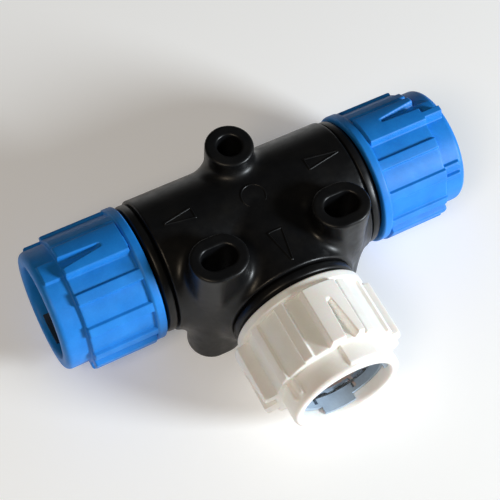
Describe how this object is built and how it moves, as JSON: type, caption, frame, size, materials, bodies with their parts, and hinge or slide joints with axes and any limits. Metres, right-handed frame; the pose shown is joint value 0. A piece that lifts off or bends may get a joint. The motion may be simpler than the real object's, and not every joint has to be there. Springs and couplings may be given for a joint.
{
  "type": "pipe tee fitting",
  "caption": "Push-fit pipe tee with screw caps, collets, grip rings and seals, and bosses for fixing screws.",
  "frame": {"origin": "where the axis of the run meets the axis of the branch", "axes": "+X along the run, towards the right cap; the branch points along -Y; +Z along the screw hole, towards the tops of the bosses"},
  "size_m": [0.0804, 0.0498, 0.0291],
  "materials": {
    "black_body": "satin moulded black plastic",
    "blue_cap": "satin moulded blue plastic",
    "white_cap": "satin moulded off-white plastic",
    "grey_collet": "satin dark grey plastic",
    "pale_collet": "satin pale blue-grey plastic",
    "grey_acetal": "satin grey-blue plastic",
    "stainless": "sprung stainless steel",
    "seal_rubber": "matte black rubber"
  },
  "bodies": {
    "tee": {"tee_body": "black_body", "left_outer_seal": "seal_rubber", "left_spacer": "grey_acetal", "left_inner_seal": "seal_rubber", "branch_outer_seal": "seal_rubber", "branch_spacer": "grey_acetal", "branch_inner_seal": "seal_rubber", "right_outer_seal": "seal_rubber", "right_spacer": "grey_acetal", "right_inner_seal": "seal_rubber"},
    "left_thrust": {"left_thrust_ring": "grey_acetal"},
    "left_cap": {"left_cap": "blue_cap"},
    "left_collet": {"left_collet": "grey_collet", "left_grip_ring": "stainless"},
    "branch_thrust": {"branch_thrust_ring": "grey_acetal"},
    "branch_cap": {"branch_cap": "white_cap"},
    "branch_collet": {"branch_collet": "pale_collet", "branch_grip_ring": "stainless"},
    "right_thrust": {"right_thrust_ring": "grey_acetal"},
    "right_cap": {"right_cap": "blue_cap"},
    "right_collet": {"right_collet": "grey_collet", "right_grip_ring": "stainless"}
  },
  "joints": [
    {"name": "left_thrust_travel", "type": "slide", "parent": "tee", "child": "left_thrust", "axis": [-1, 0, 0], "range_m": [-0.00046, 0.00181]},
    {"name": "left_cap_turn", "type": "hinge", "parent": "left_thrust", "child": "left_cap", "pos_m": [0, 0, 0], "axis": [-1, 0, 0], "range_deg": [-90, 360]},
    {"name": "left_collet_push", "type": "slide", "parent": "left_cap", "child": "left_collet", "axis": [-1, 0, 0], "range_m": [-0.001, 0]},
    {"name": "branch_thrust_travel", "type": "slide", "parent": "tee", "child": "branch_thrust", "axis": [0, -1, 0], "range_m": [-0.00046, 0.00181]},
    {"name": "branch_cap_turn", "type": "hinge", "parent": "branch_thrust", "child": "branch_cap", "pos_m": [0, 0, 0], "axis": [0, -1, 0], "range_deg": [-90, 360]},
    {"name": "branch_collet_push", "type": "slide", "parent": "branch_cap", "child": "branch_collet", "axis": [0, -1, 0], "range_m": [-0.001, 0]},
    {"name": "right_thrust_travel", "type": "slide", "parent": "tee", "child": "right_thrust", "axis": [1, 0, 0], "range_m": [-0.00046, 0.00181]},
    {"name": "right_cap_turn", "type": "hinge", "parent": "right_thrust", "child": "right_cap", "pos_m": [0, 0, 0], "axis": [1, 0, 0], "range_deg": [-90, 360]},
    {"name": "right_collet_push", "type": "slide", "parent": "right_cap", "child": "right_collet", "axis": [1, 0, 0], "range_m": [-0.001, 0]}
  ],
  "couplings": [
    {"joint": "left_thrust_travel", "follows": "left_cap_turn", "m_per_rad": 0.00028648},
    {"joint": "branch_thrust_travel", "follows": "branch_cap_turn", "m_per_rad": 0.00028648},
    {"joint": "right_thrust_travel", "follows": "right_cap_turn", "m_per_rad": 0.00028648}
  ]
}
